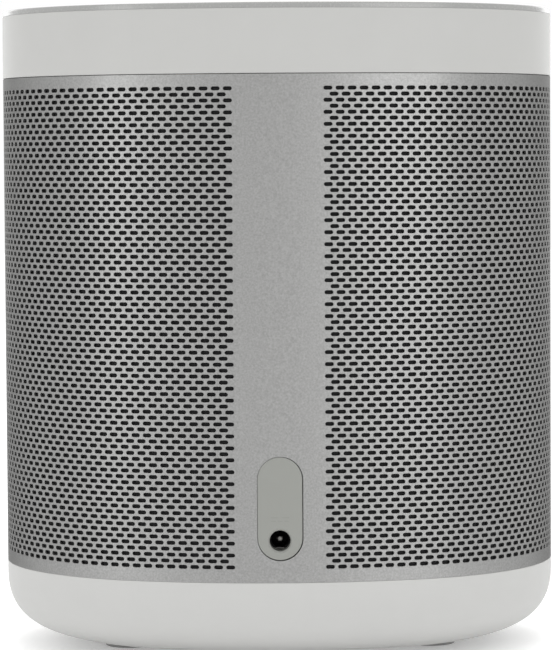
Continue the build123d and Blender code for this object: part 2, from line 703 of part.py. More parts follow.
save("base_frame", base_frame())
save("main_board", main_board())
can = soft_block((*CAN_LOW, PARTS_Z), (*CAN_HIGH, PARTS_Z + 2.6), 1.0)
post_notch = block((-FOOT_X - 4.5, -BASE_SCREW_Y - 4.5, PARTS_Z - 1), (-FOOT_X + 4.5, BASE_SCREW_Y + 4.5, PARTS_Z + 5))
save("shield_can", can - post_notch)
save("amplifier_chip", block((*CHIP_LOW, PARTS_Z), (*CHIP_HIGH, PARTS_Z + CHIP_HEIGHT)))
save("heat_sink", heat_sink(PARTS_Z + CHIP_HEIGHT))
save("capacitors", *[rod((x, CAPACITOR_Y, PARTS_Z), (x, CAPACITOR_Y, PARTS_Z + CAPACITOR_HEIGHT), CAPACITOR_R)
                     for x in CAPACITOR_X])
save("inductors", *[soft_block((x, INDUCTOR_Y, PARTS_Z),
                               (x + INDUCTOR_SIZE, INDUCTOR_Y + INDUCTOR_SIZE, PARTS_Z + INDUCTOR_HEIGHT), 0.8)
                    for x in INDUCTOR_X])
save("board_connectors", connector(CABLE_X, CABLE_CONNECTOR_Y, PARTS_Z, 12), connector(0, -33, PARTS_Z, 8),
     connector(0, 30, PARTS_Z, 8))
save("board_screws", *[screw((sx * BOARD_SCREW_X, sy * BOARD_SCREW_Y, BOARD_Z), (0, 0, 1), BOARD_SCREW)
                       for sx, sy in MIRRORS])
save("base_screws", *[screw((sx * FOOT_X, sy * BASE_SCREW_Y, UNDERSIDE_Z + FOOT_POCKET + 1.8), (0, 0, 1), BASE_SCREW)
                      for sx, sy in MIRRORS])
save("counterweight", soft_block((-WEIGHT_HALF_X, -WEIGHT_HALF_Y, UNDERSIDE_Z + WALL),
                                 (WEIGHT_HALF_X, WEIGHT_HALF_Y, UNDERSIDE_Z + WALL + WEIGHT_THICK), 3.0))
save("antennas", antenna(1), antenna(-1))

wall = box_wall()
save("front_enclosure", front_enclosure(wall))
save("rear_enclosure", rear_enclosure(wall))
save("enclosure_gasket", enclosure_gasket())
save("enclosure_screws", *[screw((sx * BOX_SCREW_X, 12, z), (0, -1, 0), BOX_SCREW)
                           for sx in (1, -1) for z in BOX_SCREW_Z])
save("reflex_port", reflex_port())
save("damping_foam", soft_block(FOAM_LOW, FOAM_HIGH, 5.0))
pad_spots = [(sx * PAD_X, sy * PAD_Y) for sx, sy in MIRRORS]
save("isolation_pads", *[rod((x, y, FRAME_TOP_Z), (x, y, BOX_BOTTOM_Z), PAD_R) for x, y in pad_spots],
     *[rod((x, y, BOX_TOP_Z), (x, y, TOP_FRAME_Z), PAD_R) for x, y in pad_spots])

save("driver_basket", driver_basket())
save("driver_gasket", driver_gasket())
save("driver_screws", *[screw((x, SEAT_Y - 2.3, z), (0, 1, 0), DRIVER_SCREW) for x, z in lug_points()])
save("pole_plate", driver_rod(-18.2, -15.2, 20.0) - driver_rod(-20, -10, GAP_R))
save("magnet", driver_rod(-28.2, -18.2, MAGNET_R) - driver_rod(-30, -10, 13.0))
save("yoke", yoke())
save("coil_former", driver_rod(-22, -8.0, COIL_R) - driver_rod(-23, -7, COIL_R - 0.2))
save("coil_winding", driver_rod(-19.7, -13.7, COIL_R + 0.5) - driver_rod(-21, -10, COIL_R))
save("cone", cone())
save("dust_cap", dust_cap())
save("surround", surround())
save("spider", spider())
terminal_z = DRIVER_Z - MAGNET_R
save("driver_terminals", block((-7, -20, terminal_z - 1.2), (7, -12, terminal_z)))
save("speaker_wires", *[round_wire([(x, -16, terminal_z - 1.2), (x, -16, 18), (x, -33, 18), (x, -33, WIRE_END_Z)],
                                   WIRE_R, WIRE_BEND) for x in (-WIRE_X, WIRE_X)])
save("power_wires", *[round_wire([(x, 33.9, 27), (x, 33.9, 17.5), (x, 30, 17.5), (x, 30, WIRE_END_Z)],
                                 WIRE_R, WIRE_BEND) for x in (-WIRE_X, WIRE_X)])

save("top_frame", top_frame())
save("light_reflector", light_reflector())
save("touch_board", touch_board())
save("touch_chip", block((-3, -3, TOUCH_BOARD_TOP_Z), (3, 3, TOUCH_BOARD_TOP_Z + 0.9)))
save("ring_leds", *ring_leds())
mic_top = SHELF_Z + SHELF_THICK
save("microphones", *[block((x - 1.8, -1.4, mic_top - 1.0), (x + 1.8, 1.4, mic_top)) for x in (MIC_X, -MIC_X)])
save("mic_gaskets", *[tube((x, 0, TOUCH_BOARD_TOP_Z), (x, 0, PANEL_BOTTOM_Z), 2.2, 0.8) for x in (MIC_X, -MIC_X)])
save("touch_film", touch_film())
save("touch_foam", touch_foam())
save("touch_board_screws", *[screw((sx * TOUCH_SCREW[0], sy * TOUCH_SCREW[1], TOUCH_BOARD_TOP_Z), (0, 0, -1),
                                   TOUCH_BOARD_SCREW) for sx, sy in MIRRORS])
save("top_frame_screws", *[screw((sx * FRAME_SCREW[0], sy * FRAME_SCREW[1], TOP_FRAME_Z), (0, 0, 1),
                                 TOP_FRAME_SCREW) for sx, sy in MIRRORS])
save("touch_cable", flat_tape([(CABLE_X, CABLE_CONNECTOR_Y, mic_top), (CABLE_X, CABLE_CONNECTOR_Y, 139),
                               (CABLE_X, CABLE_Y, 139), (CABLE_X, CABLE_Y, 17), (CABLE_X, CABLE_CONNECTOR_Y, 17),
                               (CABLE_X, CABLE_CONNECTOR_Y, WIRE_END_Z)], 10, 0.3, 1.2))
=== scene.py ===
import json
import math

import bmesh
import bpy
import numpy as np
from mathutils import Matrix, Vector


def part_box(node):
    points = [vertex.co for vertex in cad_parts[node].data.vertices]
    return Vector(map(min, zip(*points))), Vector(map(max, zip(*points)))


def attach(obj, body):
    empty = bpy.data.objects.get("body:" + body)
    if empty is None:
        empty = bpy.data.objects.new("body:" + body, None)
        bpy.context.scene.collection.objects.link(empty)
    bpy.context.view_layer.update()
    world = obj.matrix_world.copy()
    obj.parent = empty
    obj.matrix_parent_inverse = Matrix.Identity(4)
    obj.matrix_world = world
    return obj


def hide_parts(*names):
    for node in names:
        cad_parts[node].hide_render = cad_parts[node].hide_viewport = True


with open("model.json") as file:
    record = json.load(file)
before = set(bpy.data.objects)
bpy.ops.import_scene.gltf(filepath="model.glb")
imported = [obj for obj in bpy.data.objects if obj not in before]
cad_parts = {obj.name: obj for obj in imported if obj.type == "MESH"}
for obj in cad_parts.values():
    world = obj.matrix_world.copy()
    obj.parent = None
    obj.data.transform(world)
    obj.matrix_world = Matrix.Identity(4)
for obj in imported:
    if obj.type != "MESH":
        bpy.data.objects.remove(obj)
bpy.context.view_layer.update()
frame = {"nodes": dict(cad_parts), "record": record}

# ---- driving sizes, in metres ---------------------------------------------------------------------
MM = 0.001
HOUSING = "housing"

grille_low, grille_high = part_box("grille")
HALF_WIDTH = grille_high.x
HALF_DEPTH = grille_high.y
GRILLE_LOW_Z = grille_low.z
JOINT_GAP = 0.15 * MM
GRILLE_TOP_Z = grille_high.z - JOINT_GAP
PANEL_TOP_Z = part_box("touch_panel")[1].z

# The plan is a four-centre oval: two end arcs and two flatter side arcs.
END_RADIUS = 49.24 * MM
END_CENTRE = HALF_WIDTH - END_RADIUS
SLACK = HALF_DEPTH - END_RADIUS
SIDE_CENTRE = (END_CENTRE**2 - SLACK**2) / (2 * SLACK)
SIDE_RADIUS = SIDE_CENTRE + HALF_DEPTH
JOIN_ANGLE = math.atan2(END_CENTRE, SIDE_CENTRE)
SIDE_ARC = SIDE_RADIUS * JOIN_ANGLE
END_ARC = END_RADIUS * (math.pi / 2 - JOIN_ANGLE)
QUARTER = SIDE_ARC + END_ARC
GIRTH = 4 * QUARTER

# Slots in the grille: long rows and short rows take turns, half a pitch apart.
SHEET = 0.7 * MM
SLOT_ROWS = 81
LONG_ROW = 129
FIRST_SLOT = 11.33 * MM
BOTTOM_ROW_Z = 23.6 * MM
ROW_PITCH = 1.3515 * MM
SLOT_PITCH = (GIRTH - 2 * FIRST_SLOT) / (LONG_ROW - 1)
SLOT_LENGTH = 2.01 * MM
SLOT_HEIGHT = 0.87 * MM
SLOT_CHAMFER = 0.06 * MM
END_STEPS = 6
SECTORS = 7
STRIP_HALF = FIRST_SLOT - SLOT_PITCH / 2

# Layout of the grille's bake map, as shares of the map's width and height.
BAKE_MAP = "OFBake"
MAP_MARGIN = 0.02
MAP_WIDTH = 0.46
MAP_HEIGHT = 0.96
BACK_SHIFT = 0.5

# Socket plate.
PLATE_WIDTH = 10.1 * MM
PLATE_HEIGHT = 23.3 * MM
PLATE_Z = 36.95 * MM
PLATE_GAP = 0.17 * MM
PLATE_SHIFT = 0.07 * MM
PLATE_INSET = 0.12 * MM

# A sleeve's mesh round its hole: the hole sits in a square-cornered frame of finer columns and rows.
STRIP_FRAME = 7.2 * MM
CLOTH_FRAME = 8.0 * MM
FRAME_COLUMNS = 19
FRAME_END_ROWS = 10
ROWS_ABOVE = 9
WRAP_COLUMNS = 240

# Cloth behind the grille, and printed marks.
CLOTH_INSET = 0.9 * MM
CLOTH_THICK = 0.3 * MM
CLOTH_HOLE_GAP = 1.5 * MM
MARK_HEIGHT = 0.02 * MM
MARK_WIDTH = 0.7


# ---- the oval ---------------------------------------------------------------------------------------
def oval(s, inset=0.0):
    """Points and outward normals in plan at arc length s from the middle of the back, going towards +X."""
    s = np.asarray(s, float) % GIRTH
    quarter = np.floor(s / QUARTER).astype(int)
    back = np.where(quarter % 2 == 0, s - quarter * QUARTER, (quarter + 1) * QUARTER - s)
    on_side = back < SIDE_ARC
    turn = np.where(on_side, back / SIDE_RADIUS, JOIN_ANGLE + (back - SIDE_ARC) / END_RADIUS)
    reach = np.where(on_side, SIDE_RADIUS, END_RADIUS) - inset
    x = np.where(on_side, 0.0, END_CENTRE) + reach * np.sin(turn)
    y = np.where(on_side, -SIDE_CENTRE, 0.0) + reach * np.cos(turn)
    sign_x = np.where(quarter < 2, 1.0, -1.0)
    sign_y = np.where((quarter == 0) | (quarter == 3), 1.0, -1.0)
    return x * sign_x, y * sign_y, np.sin(turn) * sign_x, np.cos(turn) * sign_y


def on_oval(s, z, inset):
    """Points in space and outward normals at arc lengths and heights."""
    x, y, nx, ny = oval(s, inset)
    return np.stack([x, y, z], 1), np.stack([nx, ny, np.zeros_like(nx)], 1)


# ---- mesh helpers -----------------------------------------------------------------------------------
def new_object(name, points, blocks, normals=None, uv=None):
    """Mesh object from point rows and blocks of faces; normals and uv hold one row per face corner."""
    mesh = bpy.data.meshes.new(name)
    mesh.vertices.add(len(points))
    mesh.vertices.foreach_set("co", np.asarray(points, np.float32).ravel())
    sizes = np.concatenate([np.full(len(block), block.shape[1]) for block in blocks])
    corners = np.concatenate([block.ravel() for block in blocks]).astype(np.int32)
    mesh.loops.add(len(corners))
    mesh.loops.foreach_set("vertex_index", corners)
    mesh.polygons.add(len(sizes))
    mesh.polygons.foreach_set("loop_start", (np.cumsum(sizes) - sizes).astype(np.int32))
    mesh.polygons.foreach_set("use_smooth", np.ones(len(sizes), bool))
    mesh.update(calc_edges=True)
    if uv is not None:
        mesh.uv_layers.new(name=BAKE_MAP).uv.foreach_set("vector", np.asarray(uv, np.float32).ravel())
    if normals is not None:
        mesh.normals_split_custom_set(np.asarray(normals, float).tolist())
    obj = bpy.data.objects.new(name, mesh)
    bpy.context.scene.collection.objects.link(obj)
    return obj


def sharpen(obj, degrees=35):
    """Shade smooth, with hard edges kept where the faces turn sharply."""
    mesh = obj.data
    mesh.polygons.foreach_set("use_smooth", np.ones(len(mesh.polygons), bool))
    mesh.set_sharp_from_angle(angle=math.radians(degrees))


def arc_points(centre, radius, start, end, steps):
    """Points on a circular arc of a profile, angles in degrees."""
    angles = np.radians(np.linspace(start, end, steps + 1))
    return [(centre[0] + radius * math.cos(a), centre[1] + radius * math.sin(a)) for a in angles]


# ---- materials --------------------------------------------------------------------------------------
def link(tree, a, b):
    tree.links.new(a, b)


def node(tree, kind, **values):
    """Add a shader node; a value whose name is a socket goes to the socket, any other to the node."""
    made = tree.nodes.new(kind)
    for name, value in values.items():
        socket = name.replace("_", " ").title()
        if socket in made.inputs:
            made.inputs[socket].default_value = value
        else:
            setattr(made, name, value)
    return made


COAT_ROUGHNESS = 0.12
FINE_SHARE = 0.6
NOISE_LOW = 0.3
NOISE_HIGH = 0.7


def material(name, colour, roughness, metallic=0.0, grain=0.3, tint=0.04, rough_vary=0.06, bump=0.1,
             depth=0.02, coat=0.0, sheen=0.0, stretch=(1, 1, 1), specular=0.5, edge_tint=1.0, mottle=8.0):
    """Procedural surface: fine grain gives bump and roughness, and a broad mottle joins it in the colour.

    The sizes grain, mottle and depth are in mm.
    """
    made = bpy.data.materials.new(name)
    made.use_nodes = True
    tree = made.node_tree
    shader = tree.nodes["Principled BSDF"]
    shader.inputs["Metallic"].default_value = metallic
    shader.inputs["Coat Weight"].default_value = coat
    shader.inputs["Coat Roughness"].default_value = COAT_ROUGHNESS
    shader.inputs["Sheen Weight"].default_value = sheen
    shader.inputs["Specular Tint"].default_value = (edge_tint, edge_tint, edge_tint, 1)
    shader.inputs["Specular IOR Level"].default_value = specular
    place = node(tree, "ShaderNodeTexCoord")
    spread = node(tree, "ShaderNodeMapping")
    spread.inputs["Scale"].default_value = stretch
    link(tree, place.outputs["Object"], spread.inputs["Vector"])
    fine = node(tree, "ShaderNodeTexNoise", scale=1 / (grain * MM), detail=3.0, roughness=0.6)
    broad = node(tree, "ShaderNodeTexNoise", scale=1 / (mottle * MM), detail=4.0, roughness=0.55)
    link(tree, spread.outputs["Vector"], fine.inputs["Vector"])
    link(tree, place.outputs["Object"], broad.inputs["Vector"])
    blend = node(tree, "ShaderNodeMath", operation="MULTIPLY_ADD")
    blend.inputs[1].default_value = FINE_SHARE
    link(tree, fine.outputs["Fac"], blend.inputs[0])
    link(tree, broad.outputs["Fac"], blend.inputs[2])
    ramp = node(tree, "ShaderNodeValToRGB")
    ramp.color_ramp.elements[0].position = 0.45
    ramp.color_ramp.elements[1].position = 1.0
    ramp.color_ramp.elements[0].color = [c * (1 - tint) for c in colour] + [1]
    ramp.color_ramp.elements[1].color = [min(1.0, c * (1 + tint)) for c in colour] + [1]
    link(tree, blend.outputs["Value"], ramp.inputs["Fac"])
    link(tree, ramp.outputs["Color"], shader.inputs["Base Color"])
    rough = node(tree, "ShaderNodeMapRange")
    rough.inputs["To Min"].default_value = max(0.02, roughness - rough_vary)
    rough.inputs["To Max"].default_value = min(1.0, roughness + rough_vary)
    rough.inputs["From Min"].default_value = NOISE_LOW
    rough.inputs["From Max"].default_value = NOISE_HIGH
    link(tree, fine.outputs["Fac"], rough.inputs["Value"])
    link(tree, rough.outputs["Result"], shader.inputs["Roughness"])
    raised = node(tree, "ShaderNodeBump", strength=bump, distance=depth * MM)
    link(tree, fine.outputs["Fac"], raised.inputs["Height"])
    link(tree, raised.outputs["Normal"], shader.inputs["Normal"])
    return made


# At scale 1 a wave texture repeats about 3.2 times in a unit, and each wave covers two threads.
THREADS_PER_UNIT = 6.3


def woven(name, colour, thread_mm, roughness=0.9, sheen=0.3):
    """Plain-weave cloth: two crossed waves lift the threads."""
    made = material(name, colour, roughness, grain=thread_mm / 3, tint=0.25, bump=0.3, depth=0.03,
                    sheen=sheen)
    tree = made.node_tree
    place = next(n for n in tree.nodes if n.type == "TEX_COORD")
    raised = next(n for n in tree.nodes if n.type == "BUMP")
    fine = next(n for n in tree.nodes if n.type == "TEX_NOISE")
    total = None
    for axis in ("X", "Z"):
        wave = node(tree, "ShaderNodeTexWave", scale=1 / (thread_mm * MM) / THREADS_PER_UNIT,
                    distortion=0.4)
        wave.bands_direction = axis
        link(tree, place.outputs["Object"], wave.inputs["Vector"])
        if total is None:
            total = wave.outputs["Fac"]
        else:
            add = node(tree, "ShaderNodeMath", operation="MULTIPLY")
            link(tree, total, add.inputs[0])
            link(tree, wave.outputs["Fac"], add.inputs[1])
            total = add.outputs["Value"]
    mix = node(tree, "ShaderNodeMath", operation="ADD")
    link(tree, total, mix.inputs[0])
    link(tree, fine.outputs["Fac"], mix.inputs[1])
    link(tree, mix.outputs["Value"], raised.inputs["Height"])
    return made


WHITE_SHELL = (0.482, 0.482, 0.470)
SLOT_MATERIALS = {
    "ring_plastic": material("ring_plastic", (0.310, 0.312, 0.304), 0.25, tint=0.02, grain=0.5, bump=0.03,
                             coat=0.15),
    "panel_plastic": material("panel_plastic", (0.50, 0.50, 0.488), 0.34, grain=0.15, tint=0.015, bump=0.06),
    "shell_plastic": material("shell_plastic", WHITE_SHELL, 0.48, grain=0.18, tint=0.012, bump=0.06,
                              depth=0.01, specular=0.12),
    "grille_metal": material("grille_metal", (0.274, 0.274, 0.270), 0.44, metallic=1.0, grain=0.16, tint=0.20,
                             rough_vary=0.12, bump=0.5, depth=0.02, edge_tint=0.3, mottle=0.45),
    "cloth": woven("cloth", (0.006, 0.006, 0.007), 0.25),
    "plate_plastic": material("plate_plastic", (0.276, 0.281, 0.262), 0.45, grain=0.15, tint=0.02, bump=0.08,
                              specular=0.25),
    "foot_rubber": material("foot_rubber", (0.30, 0.30, 0.295), 0.7, grain=0.3, tint=0.08, bump=0.3),
    "black_plastic": material("black_plastic", (0.012, 0.012, 0.013), 0.55, grain=0.3, tint=0.2, bump=0.25,
                              specular=0.1),
    # painted shade: the contact metal's colour is darkened to stand in for the shade deep in the socket's
    # recess
    "contact_metal": material("contact_metal", (0.20, 0.195, 0.185), 0.4, metallic=1.0, grain=0.4, tint=0.05),
    "circuit_board": material("circuit_board", (0.015, 0.10, 0.045), 0.35, grain=0.6, tint=0.15, coat=0.4),
    "chip_plastic": material("chip_plastic", (0.02, 0.02, 0.022), 0.5, grain=0.2, tint=0.2),
    "tin_steel": material("tin_steel", (0.55, 0.56, 0.57), 0.3, metallic=1.0, grain=0.3, stretch=(1, 12, 1)),
    "heat_metal": material("heat_metal", (0.40, 0.41, 0.43), 0.35, metallic=1.0, grain=0.3,
                           stretch=(1, 10, 1)),
    "can_metal": material("can_metal", (0.6, 0.61, 0.62), 0.28, metallic=1.0, grain=0.4, stretch=(1, 1, 9)),
    "ferrite": material("ferrite", (0.05, 0.05, 0.055), 0.55, grain=0.4, tint=0.2, bump=0.3),
    "screw_steel": material("screw_steel", (0.25, 0.25, 0.27), 0.3, metallic=1.0, grain=0.3, tint=0.15),
    "weight_steel": material("weight_steel", (0.05, 0.052, 0.056), 0.5, grain=0.4, tint=0.1, bump=0.3),
    "copper": material("copper", (0.55, 0.22, 0.08), 0.3, metallic=1.0, grain=0.25, stretch=(1, 14, 1),
                       bump=0.5),
    "cone_paper": material("cone_paper", (0.02, 0.02, 0.022), 0.85, grain=0.5, tint=0.35, bump=0.6,
                           sheen=0.1),
    "soft_rubber": material("soft_rubber", (0.015, 0.015, 0.015), 0.6, grain=0.4, tint=0.2, bump=0.15),
    "spider_cloth": woven("spider_cloth", (0.30, 0.17, 0.05), 0.4, roughness=0.8, sheen=0.1),
    "foam": material("foam", (0.03, 0.03, 0.033), 0.95, grain=0.9, tint=0.5, bump=1.0, depth=0.2, sheen=0.3),
    "white_plastic": material("white_plastic", (0.75, 0.75, 0.74), 0.4, grain=0.3, tint=0.02),
    "lamp_resin": material("lamp_resin", (0.80, 0.75, 0.45), 0.25, grain=0.4, tint=0.1, coat=0.5),
    "clear_film": material("clear_film", (0.35, 0.22, 0.06), 0.3, grain=0.5, tint=0.1, coat=0.4),
    "wire_cover": material("wire_cover", (0.12, 0.01, 0.01), 0.45, grain=0.4, tint=0.1),
}
PRINT_MATERIALS = {
    "print_grey": material("print_grey", (0.20, 0.20, 0.195), 0.5, grain=0.2, tint=0.05),
    "plate_print": material("plate_print", (0.235, 0.24, 0.222), 0.45, grain=0.2, tint=0.05),
}

for part in frame["record"]["subparts"]:
    carried = frame["nodes"][part["node"]]
    carried.data.materials.clear()
    carried.data.materials.append(SLOT_MATERIALS[part["material_slot"]])

# The cap has the band's finish in a colour painted slightly lighter, standing in for the extra light it gets
# from the bright floor below.
cap = frame["nodes"]["bottom_cap"]
cap.data.materials.clear()
cap.data.materials.append(material("cap_plastic_painted_light", (0.532, 0.532, 0.521), 0.48, tint=0.012, grain=0.18,
                                   bump=0.06, depth=0.01, specular=0.12))


def finish_piece(obj, slot_name, *replaced):
    """Give a new piece the material of its slot, set it on the housing, and hide the CAD nodes it replaces.
    """
    obj.data.materials.clear()
    obj.data.materials.append(SLOT_MATERIALS[slot_name])
    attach(obj, HOUSING)
    if replaced:
        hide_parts(*replaced)
    return obj


# ---- camera -----------------------------------------------------------------------------------------
CAMERA_PLACE = (3.285 * MM, 786.4 * MM, 118.02 * MM)
CAMERA_TURN = -0.003523
CAMERA_DOWN = 0.053761
CAMERA_ROLL = -0.0063215

lens = bpy.data.cameras.new("camera")
lens.lens = 181.0
lens.sensor_width = 36.0
lens.clip_start = 0.05
camera = bpy.data.objects.new("camera", lens)
bpy.context.scene.collection.objects.link(camera)
camera.matrix_world = (
    Matrix.Translation(CAMERA_PLACE)
    @ Matrix.Rotation(math.pi + CAMERA_TURN, 4, "Z")
    @ Matrix.Rotation(math.pi / 2 - CAMERA_DOWN, 4, "X")
    @ Matrix.Rotation(CAMERA_ROLL, 4, "Z")
)
bpy.context.scene.camera = camera


# ---- grille -----------------------------------------------------------------------------------------
def slot_outline(grow):
    """Outline of one slot, anticlockwise, as along, up, and the outward direction at each point."""
    radius = SLOT_HEIGHT / 2 + grow
    straight = (SLOT_LENGTH - SLOT_HEIGHT) / 2
    rows = []
    for side, start in ((1, -90), (-1, 90)):
        for step in range(END_STEPS + 1):
            angle = math.radians(start + 180 * step / END_STEPS)
            along, up = math.cos(angle), math.sin(angle)
            rows.append((side * straight + radius * along, radius * up, along, up))
    return np.array(rows)


def rim_walls(front_blocks, shift):
    """Quads from each open edge of the front faces to the same edge on the back, shift places later."""
    starts = np.concatenate([block.ravel() for block in front_blocks])
    ends = np.concatenate([np.roll(block, -1, 1).ravel() for block in front_blocks])
    lattice = (starts < shift) & (ends < shift)
    starts, ends = starts[lattice], ends[lattice]
    forward, backward = starts * shift + ends, ends * shift + starts
    open_edge = ~np.isin(forward, backward)
    starts, ends = starts[open_edge], ends[open_edge]
    return np.stack([ends, starts, starts + shift, ends + shift], 1)


def without_spares(points, blocks):
    """The points that the faces use, with the faces numbered to match."""
    used, numbers = np.unique(np.concatenate([block.ravel() for block in blocks]), return_inverse=True)
    numbers = np.split(numbers, np.cumsum([block.size for block in blocks])[:-1])
    return points[used], [number.reshape(block.shape) for number, block in zip(numbers, blocks)]


def flat_normals(points, faces):
    """Each face's own normal, repeated for its corners."""
    a, b, c = (points[faces[:, i]] for i in range(3))
    normal = np.cross(b - a, c - b)
    normal /= np.linalg.norm(normal, axis=1, keepdims=True)
    return np.repeat(normal, faces.shape[1], 0)


def grille_sector(name, first, last):
    """Closed sheet with the slots of columns first to last - 1, each with a small bevel round its mouth."""
    last_short = min(last, LONG_ROW - 1)
    end_column = 2 * last if last < LONG_ROW else 2 * LONG_ROW - 1
    column = np.arange(2 * first - 1, end_column + 1)
    row_lines = BOTTOM_ROW_Z + ROW_PITCH / 2 * np.arange(-1, 2 * SLOT_ROWS)
    levels = np.concatenate([[GRILLE_LOW_Z], row_lines, [GRILLE_TOP_Z]])
    grid_s, grid_z = (g.ravel() for g in np.meshgrid(FIRST_SLOT + column * SLOT_PITCH / 2, levels))
    grid = np.arange(len(grid_s)).reshape(len(levels), len(column))
    size = len(grid_s)

    cells = [(row, 2 * k) for row in range(0, SLOT_ROWS, 2) for k in range(first, last)]
    cells += [(row, 2 * k + 1) for row in range(1, SLOT_ROWS, 2) for k in range(first, last_short)]
    row, place = np.array(cells).T
    across = place - column[0]
    middle = 2 * row + 2
    mouth_shape, throat_shape = slot_outline(SLOT_CHAMFER), slot_outline(0.0)
    per = len(throat_shape)

    def ring(shape, shrink=1.0):
        """Arc length and height of an outline's points at every cell."""
        s = FIRST_SLOT + place[:, None] * SLOT_PITCH / 2 + shrink * shape[None, :, 0]
        z = BOTTOM_ROW_Z + row[:, None] * ROW_PITCH + shrink * shape[None, :, 1]
        return s.ravel(), z.ravel()

    front, outward = on_oval(grid_s, grid_z, 0.0)
    back, _ = on_oval(grid_s, grid_z, SHEET)
    mouth, mouth_out = on_oval(*ring(mouth_shape), 0.0)
    throat, _ = on_oval(*ring(throat_shape), SLOT_CHAMFER)
    outlet, _ = on_oval(*ring(throat_shape), SHEET)
    points = np.concatenate([front, back, mouth, throat, outlet])
    tangent = np.stack([mouth_out[:, 1], -mouth_out[:, 0], np.zeros(len(mouth_out))], 1)
    direction = np.tile(throat_shape[:, 2:], (len(row), 1))
    wall = -(direction[:, :1] * tangent + direction[:, 1:] * np.array([[0.0, 0.0, 1.0]]))
    bevel = (wall + mouth_out) / math.sqrt(2)

    rings = [2 * size + i * len(mouth) + np.arange(len(mouth)).reshape(-1, per) for i in range(3)]
    right, left = END_STEPS // 2, END_STEPS + 1 + END_STEPS // 2
    over = np.arange(left, right - 1, -1)
    under = np.arange(right, left - per - 1, -1) % per
    over_edge = [(0, 1), (1, 1), (1, 0), (1, -1), (0, -1)]
    under_edge = [(0, -1), (-1, -1), (-1, 0), (-1, 1), (0, 1)]

    def plates(outline, shift):
        """Upper and lower face between each slot and its cell."""
        made = []
        for edge, path in ((over_edge, over), (under_edge, under)):
            corners = [grid[middle + up, across + along][:, None] + shift for up, along in edge]
            made.append(np.concatenate(corners + [outline[:, path]], 1))
        return made

    def plain(level, a, b):
        """Quad of plain sheet between two columns, over one row or margin; level is its lowest line."""
        high = level + 1 if level in (0, len(levels) - 2) else level + 2
        return np.stack([grid[level, a], grid[level, b], grid[high, b], grid[high, a]], -1).reshape(-1, 4)

    margin = np.arange(2 * (last - first))
    fill = [plain(level, margin, margin + 1) for level in (0, len(levels) - 2)]
    short_levels = 2 * np.arange(1, SLOT_ROWS, 2) + 1
    if first == 0:
        fill += [plain(level, 0, 1) for level in short_levels]
    if last == LONG_ROW:
        fill += [plain(level, len(column) - 2, len(column) - 1) for level in short_levels]
    fill = np.concatenate(fill)
    front_blocks = [block[:, ::-1] for block in plates(rings[0], 0)] + [fill[:, ::-1]]
    back_blocks = plates(rings[2], size) + [fill + size]
    wall_blocks = []
    for near, far in ((rings[0], rings[1]), (rings[1], rings[2])):
        wall_blocks.append(np.stack([near, far, np.roll(far, -1, 1), np.roll(near, -1, 1)], 2).reshape(-1, 4))
    rim = rim_walls(front_blocks, size)

    out = np.concatenate([outward, outward, mouth_out, mouth_out, mouth_out])
    local = [(block - 2 * size) % len(mouth) for block in wall_blocks]
    normals = [out[block.ravel()] for block in front_blocks] + [-out[block.ravel()] for block in back_blocks]
    normals += [bevel[local[0].ravel()], wall[local[1].ravel()], flat_normals(points, rim)]

    # The bake map is the unrolled sheet, its back beside its front, with each slot's walls inside the slot.
    def unrolled(s, z, side):
        share_along = (s - grid_s.min()) / (grid_s.max() - grid_s.min())
        share_up = (z - GRILLE_LOW_Z) / (GRILLE_TOP_Z - GRILLE_LOW_Z)
        return np.stack([(MAP_MARGIN + share_along * MAP_WIDTH) + side * BACK_SHIFT,
                         MAP_MARGIN + share_up * MAP_HEIGHT], 1)

    near_side = np.concatenate([unrolled(grid_s, grid_z, 0), unrolled(grid_s, grid_z, 0) * 1.01 - 0.004,
                                unrolled(*ring(mouth_shape), 0), unrolled(*ring(throat_shape, 0.85), 0),
                                unrolled(*ring(throat_shape, 0.4), 0)])
    far_side = np.concatenate([near_side[:size], unrolled(grid_s, grid_z, 1), unrolled(*ring(mouth_shape), 1),
                               unrolled(*ring(throat_shape), 1), unrolled(*ring(throat_shape), 1)])
    uv = [near_side[block.ravel()] for block in front_blocks]
    uv += [far_side[block.ravel()] for block in back_blocks]
    uv += [near_side[block.ravel()] for block in wall_blocks + [rim]]

    points, blocks = without_spares(points, front_blocks + back_blocks + wall_blocks + [rim])
    obj = new_object(name, points, blocks, np.concatenate(normals), np.concatenate(uv))
    return finish_piece(obj, "grille_metal", "grille")


